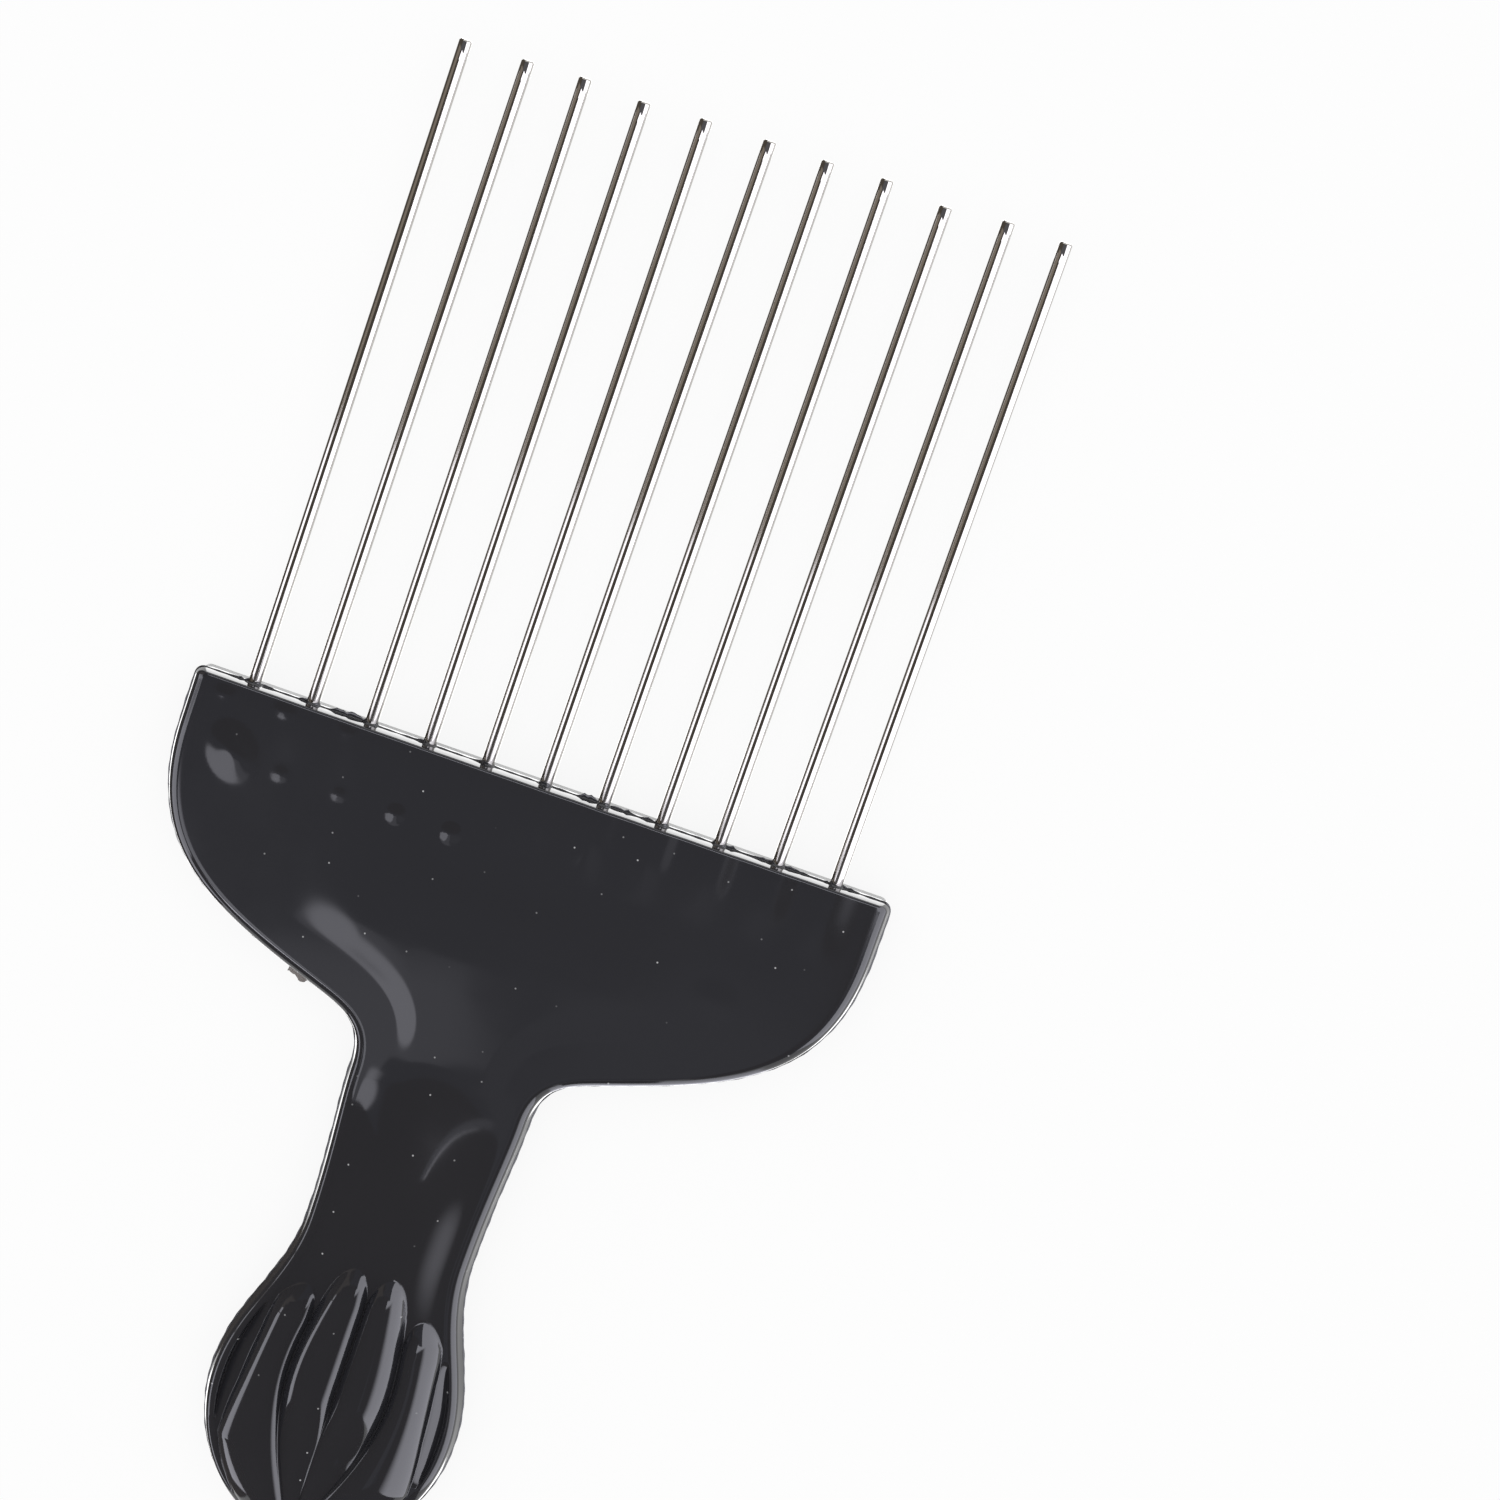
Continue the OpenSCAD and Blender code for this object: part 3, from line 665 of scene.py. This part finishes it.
def mouldedPolystyrene():
    # black polystyrene moulded against polished steel: a sharp gloss over a nearly black body, with dust
    # specks 0.2 mm wide in some 6 mm cells, and faint haze in the gloss from noise in the roughness
    p = polystyrene
    material, tree = newMaterial("mouldedPolystyrene")
    at = addNode(tree, "ShaderNodeTexCoord")
    cells = addNode(tree, "ShaderNodeTexVoronoi", {"voronoi_dimensions": "2D"},
                    {"Scale": p["speckScale"]}, {"Vector": at.outputs["Object"]})
    grain = addNode(tree, "ShaderNodeMapRange",
                    values={"From Min": p["speckClear"], "From Max": p["speckFull"], "To Max": 1.0},
                    links={"Value": cells.outputs["Distance"]})
    pick = addNode(tree, "ShaderNodeSeparateColor", links={"Color": cells.outputs["Color"]})
    some = addNode(tree, "ShaderNodeMapRange", values={"From Min": p["speckFrom"], "From Max": p["speckTo"]},
                   links={"Value": pick.outputs["Red"]})
    speck = addNode(tree, "ShaderNodeMath", {"operation": "MULTIPLY"},
                    links={0: grain.outputs["Result"], 1: some.outputs[0]})
    colour = addNode(tree, "ShaderNodeMix", {"data_type": "RGBA"},
                     {6: linear(p["colour"]), 7: linear(p["dust"])}, {0: speck.outputs[0]})
    haze = addNode(tree, "ShaderNodeTexNoise", values={"Scale": p["hazeScale"], "Detail": p["hazeDetail"]},
                   links={"Vector": at.outputs["Object"]})
    rough = addNode(tree, "ShaderNodeMapRange",
                    values={"From Min": p["hazeFrom"], "From Max": p["hazeTo"],
                            "To Min": p["glossRoughness"], "To Max": p["hazeRoughness"]},
                    links={"Value": haze.outputs["Fac"]})
    shader = addNode(tree, "ShaderNodeBsdfPrincipled", values={"IOR": p["ior"]},
                     links={"Base Color": colour.outputs[2], "Roughness": rough.outputs["Result"]})
    addNode(tree, "ShaderNodeOutputMaterial", links={"Surface": shader.outputs[0]})
    return material


def tornPolystyrene():
    # the same plastic where the feed was broken off: rough and paler from the stress
    p = polystyrene
    material, tree = newMaterial("tornPolystyrene")
    shader = addNode(tree, "ShaderNodeBsdfPrincipled", values={
        "Base Color": linear(p["tornColour"]), "Roughness": p["tornRoughness"], "IOR": p["ior"]})
    addNode(tree, "ShaderNodeOutputMaterial", links={"Surface": shader.outputs[0]})
    return material


wireSteel = {"colour": "#b9b6b1", "roughness": 0.06}


def drawnSteel():
    # steel wire, bright and smooth along its length from the drawing die
    w = wireSteel
    material, tree = newMaterial("drawnSteel")
    shader = addNode(tree, "ShaderNodeBsdfPrincipled", values={
        "Base Color": linear(w["colour"]), "Metallic": 1.0, "Roughness": w["roughness"]})
    addNode(tree, "ShaderNodeOutputMaterial", links={"Surface": shader.outputs[0]})
    return material


plastic = mouldedPolystyrene()
for piece in (moulding, collars):
    piece.data.materials.append(plastic)
stub.data.materials.append(tornPolystyrene())
steel = drawnSteel()
for wire in wires:
    wire.data.materials.append(steel)

# the stage: a white floor that keeps the pick's shadow, and the white world round it
studio = {"floorHalf": 2000.0, "floorDrop": 0.05, "floorColour": "#f4f4f4", "floorGlow": 0.88, "fill": 0.95}
coolWhite = "#f4f4ff"
warmWhite = "#fff0e0"

# what the gloss mirrors: cards seen by glossy rays alone, each placed by its direction from the head's face
# (degrees to the left and up, off the face), its size in degrees, its distance, its level and its colour
cards = [
    {"name": "lowSoftbox", "left": 15, "up": -22.3, "wide": 17, "high": 17, "away": 800, "level": 2.0,
     "disc": True, "soft": 0.2, "colour": coolWhite},
    {"name": "lowGlow", "left": 7.1, "up": -23.1, "wide": 12, "high": 12, "away": 900, "level": 0.55,
     "turn": 6, "soft": 0.05, "colour": coolWhite},
    {"name": "lowLeftSoftbox", "left": 21, "up": -44, "wide": 36, "high": 28, "away": 760, "level": 6.8,
     "soft": 0.7, "colour": coolWhite},
    {"name": "rightLowGlow", "left": -9, "up": -22, "wide": 18, "high": 17, "away": 900, "level": 0.25,
     "soft": 0.3, "colour": coolWhite},
    {"name": "leftSoftbox", "left": 61, "up": -38.4, "wide": 50, "high": 53.4, "away": 700, "level": 2.9,
     "soft": 0.03, "colour": coolWhite},
    {"name": "wireSoftbox", "left": 63, "up": -8.4, "wide": 38, "high": 6.6, "away": 700, "level": 2.9,
     "soft": 0.15, "colour": coolWhite},
    {"name": "leftWallGlow", "left": 62, "up": 8, "wide": 50, "high": 40, "away": 1000, "level": 0.35,
     "soft": 0.2, "colour": warmWhite},
    {"name": "rightSoftbox", "left": -70, "up": 10, "wide": 70, "high": 100, "away": 700, "level": 3.2,
     "soft": 0.03, "colour": coolWhite},
    {"name": "innerSoftbox", "left": -25, "up": 4.2, "wide": 28, "high": 32, "away": 720, "level": 3.2,
     "soft": 0.02, "colour": coolWhite},
    {"name": "highSoftbox", "left": -6, "up": 11, "wide": 40, "high": 22, "away": 760, "level": 3.2,
     "turn": -13, "soft": 0.04, "colour": coolWhite},
    {"name": "rightGlow", "left": -14, "up": -2, "wide": 12, "high": 27, "away": 900, "level": 0.5,
     "farLevel": 0.25, "soft": 0.06, "colour": coolWhite},
    {"name": "frontShade", "left": 12, "up": 5.2, "wide": 60, "high": 33.7, "away": 1000, "level": 0.1,
     "soft": 0.02, "colour": warmWhite},
]
# the room round the cards, and flags close to the grip: middle and half sides, from the top edge's middle
walls = [
    {"name": "ceiling", "middle": (0, 550, 1200), "across": (2400, 0, 0), "along": (0, 1850, 0),
     "level": 0.17, "colour": coolWhite},
    {"name": "leftWall", "middle": (-1200, 0, -450), "across": (0, 0, 1650), "along": (0, 2400, 0),
     "level": 0.12, "colour": warmWhite},
    {"name": "backGlow", "middle": (0, 200, -600), "across": (150, 0, 0), "along": (0, 150, 0),
     "level": 3.2, "colour": "#ffffff"},
    {"name": "lowGlowWall", "middle": (260, -700, -400), "across": (210, 0, 0), "along": (0, 0, 850),
     "level": 2.6, "soft": 0.2, "colour": coolWhite},
    {"name": "underGlow", "middle": (0, -250, -600), "across": (300, 0, 0), "along": (0, 150, 0),
     "level": 3.2, "colour": "#ffffff"},
    {"name": "gripFlag", "middle": (-26, -92, 27), "across": (34, 0, 0), "along": (0, 46, 0),
     "level": 0.1, "colour": warmWhite},
    {"name": "leftFlag", "middle": (-62, -96, 50), "across": (0, 0, 30), "along": (0, 42, 0),
     "level": 0.1, "soft": 0.1, "colour": warmWhite},
    {"name": "lowFlag", "middle": (-4, -112, 45), "across": (52, 0, 0), "along": (0, 0, 35),
     "level": 0.1, "colour": warmWhite},
    {"name": "rightFlag", "middle": (60, -84, 170), "across": (0, 0, 130), "along": (0, 54, 0),
     "level": 0.1, "soft": 0.3, "colour": warmWhite},
]
hardEdge = 0.001                                 # a border this soft looks sharp


def makeFloor():
    # a diffuse plane just under the pick that also glows where the camera sees it
    mesh = bpy.data.meshes.new("floor")
    s, z = studio["floorHalf"] * mm, -studio["floorDrop"] * mm
    mesh.from_pydata([(-s, -s, z), (s, -s, z), (s, s, z), (-s, s, z)], [], [(0, 1, 2, 3)])
    floor = bpy.data.objects.new("floor", mesh)
    scene.collection.objects.link(floor)
    floor.visible_glossy = False                 # glossy rays go on to the white world below
    material, tree = newMaterial("paleFloor")
    path = addNode(tree, "ShaderNodeLightPath")
    share = addNode(tree, "ShaderNodeMath", {"operation": "MULTIPLY"}, {1: studio["floorGlow"]},
                    {0: path.outputs["Is Camera Ray"]})
    diffuse = addNode(tree, "ShaderNodeBsdfDiffuse", values={"Color": linear(studio["floorColour"])})
    glow = addNode(tree, "ShaderNodeEmission", values={"Color": (1, 1, 1, 1), "Strength": 1.0})
    mixed = addNode(tree, "ShaderNodeMixShader",
                    links={0: share.outputs[0], 1: diffuse.outputs[0], 2: glow.outputs[0]})
    addNode(tree, "ShaderNodeOutputMaterial", links={"Surface": mixed.outputs[0]})
    mesh.materials.append(material)


def makeCard(name, middle, across, along, level, farLevel, disc, soft, colour):
    # a glowing card that only glossy rays see; its level runs from one side to the other, its border is soft
    middle, across, along = (np.array(v, float) for v in (middle, across, along))
    corners = [middle + a * across + b * along for a, b in ((-1, -1), (1, -1), (1, 1), (-1, 1))]
    mesh = bpy.data.meshes.new(name)
    mesh.from_pydata([tuple((c + (0, topY, 0)) * mm) for c in corners], [], [(0, 1, 2, 3)])
    mesh.uv_layers.new(name="card").data.foreach_set("uv", np.array([0, 0, 1, 0, 1, 1, 0, 1], float))
    card = bpy.data.objects.new(name, mesh)
    scene.collection.objects.link(card)
    for ray in ("camera", "diffuse", "transmission", "volume_scatter", "shadow"):
        setattr(card, "visible_" + ray, False)
    material, tree = newMaterial(name)
    at = addNode(tree, "ShaderNodeTexCoord")
    centred = addNode(tree, "ShaderNodeVectorMath", {"operation": "MULTIPLY_ADD"},
                      {1: (2, 2, 0), 2: (-1, -1, 0)}, {0: at.outputs["UV"]})
    if disc:
        reach = addNode(tree, "ShaderNodeVectorMath", {"operation": "LENGTH"},
                        links={0: centred.outputs[0]})
        reach = reach.outputs["Value"]
    else:
        size = addNode(tree, "ShaderNodeVectorMath", {"operation": "ABSOLUTE"},
                       links={0: centred.outputs[0]})
        sides = addNode(tree, "ShaderNodeSeparateXYZ", links={0: size.outputs[0]})
        reach = addNode(tree, "ShaderNodeMath", {"operation": "MAXIMUM"},
                        links={0: sides.outputs["X"], 1: sides.outputs["Y"]}).outputs[0]
    border = addNode(tree, "ShaderNodeMapRange", {"interpolation_type": "SMOOTHSTEP"},
                     {"From Min": 1.0, "From Max": 1.0 - soft}, {"Value": reach})
    place = addNode(tree, "ShaderNodeSeparateXYZ", links={0: at.outputs["UV"]})
    strength = addNode(tree, "ShaderNodeMapRange", values={"To Min": level, "To Max": farLevel},
                       links={"Value": place.outputs["X"]})
    glow = addNode(tree, "ShaderNodeEmission", values={"Color": linear(colour)},
                   links={"Strength": strength.outputs["Result"]})
    clear = addNode(tree, "ShaderNodeBsdfTransparent")
    mixed = addNode(tree, "ShaderNodeMixShader",
                    links={0: border.outputs["Result"], 1: clear.outputs[0], 2: glow.outputs[0]})
    addNode(tree, "ShaderNodeOutputMaterial", links={"Surface": mixed.outputs[0]})
    mesh.materials.append(material)


def placeCard(card):
    # turns a card's direction and angular size into its middle and its two half sides
    left, up, turn = (math.radians(card.get(k, 0)) for k in ("left", "up", "turn"))
    out = np.array([-math.sin(left) * math.cos(up), math.sin(up), math.cos(left) * math.cos(up)])
    right = np.cross([0, 1, 0], out)
    right /= np.linalg.norm(right)
    high = np.cross(out, right)
    c, s = math.cos(turn), math.sin(turn)
    right, high = right * c + high * s, high * c - right * s
    across = right * card["away"] * math.tan(math.radians(card["wide"] / 2))
    along = high * card["away"] * math.tan(math.radians(card["high"] / 2))
    makeCard(card["name"], out * card["away"], across, along, card["level"],
             card.get("farLevel", card["level"]), card.get("disc", False), card["soft"], card["colour"])


makeFloor()
for card in cards:
    placeCard(card)
for wall in walls:
    makeCard(wall["name"], wall["middle"], wall["across"], wall["along"], wall["level"], wall["level"],
             False, wall.get("soft", hardEdge), wall["colour"])
print("stage", 1 + len(cards) + len(walls), "objects")


def makeWorld():
    # even white on every side, a little lower for the light that falls on the pick than for what is seen
    world = bpy.data.worlds.new("studio")
    scene.world = world
    world.use_nodes = True
    tree = world.node_tree
    tree.nodes.clear()
    path = addNode(tree, "ShaderNodeLightPath")
    seen = addNode(tree, "ShaderNodeMath", {"operation": "MAXIMUM"},
                   links={0: path.outputs["Is Camera Ray"], 1: path.outputs["Is Glossy Ray"]})
    seen = addNode(tree, "ShaderNodeMath", {"operation": "MAXIMUM"},
                   links={0: seen.outputs[0], 1: path.outputs["Is Transmission Ray"]})
    soft = addNode(tree, "ShaderNodeBackground", values={"Color": (1, 1, 1, 1), "Strength": studio["fill"]})
    white = addNode(tree, "ShaderNodeBackground", values={"Color": (1, 1, 1, 1), "Strength": 1.0})
    mixed = addNode(tree, "ShaderNodeMixShader",
                    links={0: seen.outputs[0], 1: soft.outputs[0], 2: white.outputs[0]})
    addNode(tree, "ShaderNodeOutputWorld", links={"Surface": mixed.outputs[0]})


makeWorld()
